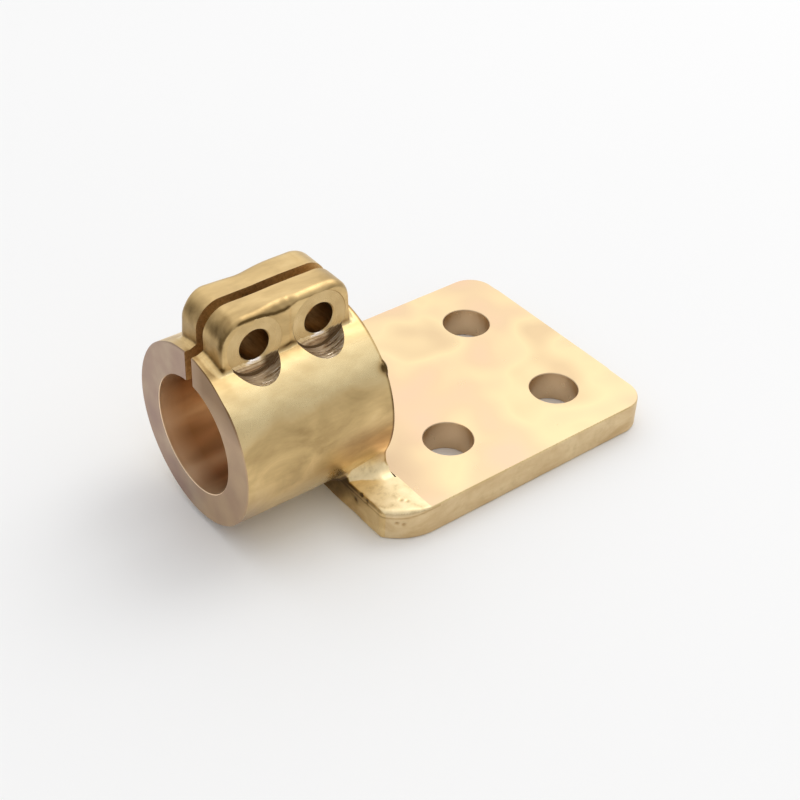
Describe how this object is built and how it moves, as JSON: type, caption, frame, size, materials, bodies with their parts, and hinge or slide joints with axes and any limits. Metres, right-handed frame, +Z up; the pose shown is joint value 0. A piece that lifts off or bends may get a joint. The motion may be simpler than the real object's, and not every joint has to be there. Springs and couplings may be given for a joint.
{
  "type": "split barrel terminal clamp",
  "caption": "Cast brass ground and terminal clamp: a split round barrel with pinch-bolt ears, joined to a flat bolt-on contact pad.",
  "frame": {"origin": "centre of the pad's bolt pattern, on the pad's underside", "axes": "+X along the barrel's axis from the barrel to the pad's far end, +Y across the pad, +Z up from the pad's underside to the bolt ears"},
  "size_m": [0.1601, 0.099, 0.0829],
  "materials": {
    "machined_brass": "milled pad, fine tool marks",
    "cast_brass": "linished casting, soft polish",
    "bored_brass": "bored and tarnished, deep copper brown"
  },
  "bodies": {
    "base": {"contact_pad": "machined_brass", "barrel_saddle": "cast_brass"},
    "near_jaw": {"near_jaw": "cast_brass"},
    "far_jaw": {"far_jaw": "cast_brass"}
  },
  "joints": [
    {"name": "near_jaw_flex", "type": "hinge", "parent": "base", "child": "near_jaw", "pos_m": [-0.08125, -0.0227, 0.0348], "axis": [-1, 0, 0], "range_deg": [0, 1], "stiffness_Nm_per_rad": 60},
    {"name": "far_jaw_flex", "type": "hinge", "parent": "base", "child": "far_jaw", "pos_m": [-0.08125, 0.0307, 0.0348], "axis": [1, 0, 0], "range_deg": [0, 1], "stiffness_Nm_per_rad": 60}
  ],
  "couplings": [
    {"joint": "far_jaw_flex", "follows": "near_jaw_flex", "ratio": 1}
  ]
}
